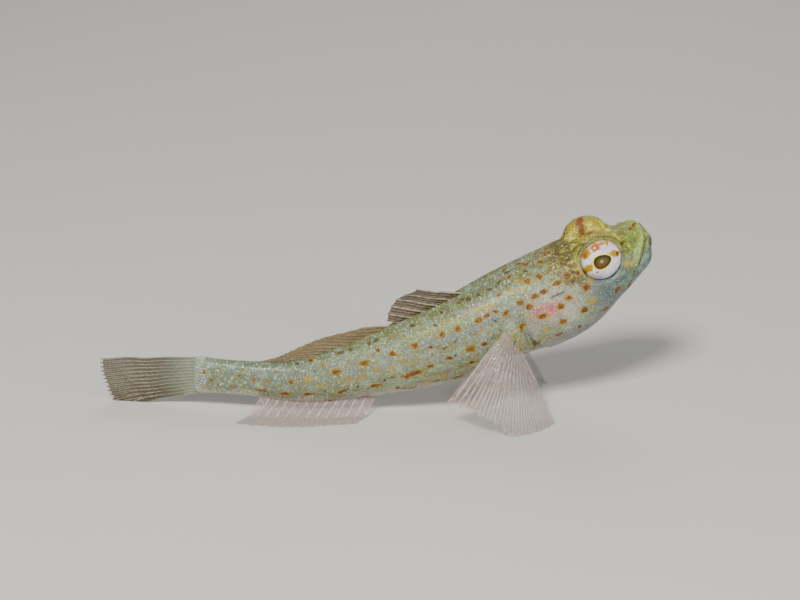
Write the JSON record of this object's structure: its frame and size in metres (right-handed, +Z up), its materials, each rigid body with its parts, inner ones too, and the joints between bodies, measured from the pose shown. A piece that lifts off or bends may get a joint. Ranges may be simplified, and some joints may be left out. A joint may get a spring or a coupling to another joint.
{
  "type": "small goby fish model",
  "caption": "Life-size still model of a small marine goby resting on its pelvic disc, breast fins and tail, head raised.",
  "frame": {"origin": "on the floor, under the middle of the bounding box", "axes": "+X towards the snout, the longest extent; the right flank faces -Y; +Z up"},
  "size_m": [0.0694, 0.0222, 0.0237],
  "materials": {
    "skin": "moist scaled skin, pale greenish grey with orange-brown spots",
    "eye": "clear wet eye, silver and gold iris",
    "fin": "thin translucent fin web with fine rays"
  },
  "bodies": {
    "root": {"head": "skin", "trunk": "skin", "tail_stem": "skin", "eye_right": "eye", "eye_left": "eye", "first_dorsal_fin": "fin", "second_dorsal_fin": "fin", "caudal_fin": "fin", "anal_fin": "fin", "pelvic_disc": "fin", "pectoral_fin_right": "fin", "pectoral_fin_left": "fin"}
  },
  "joints": []
}
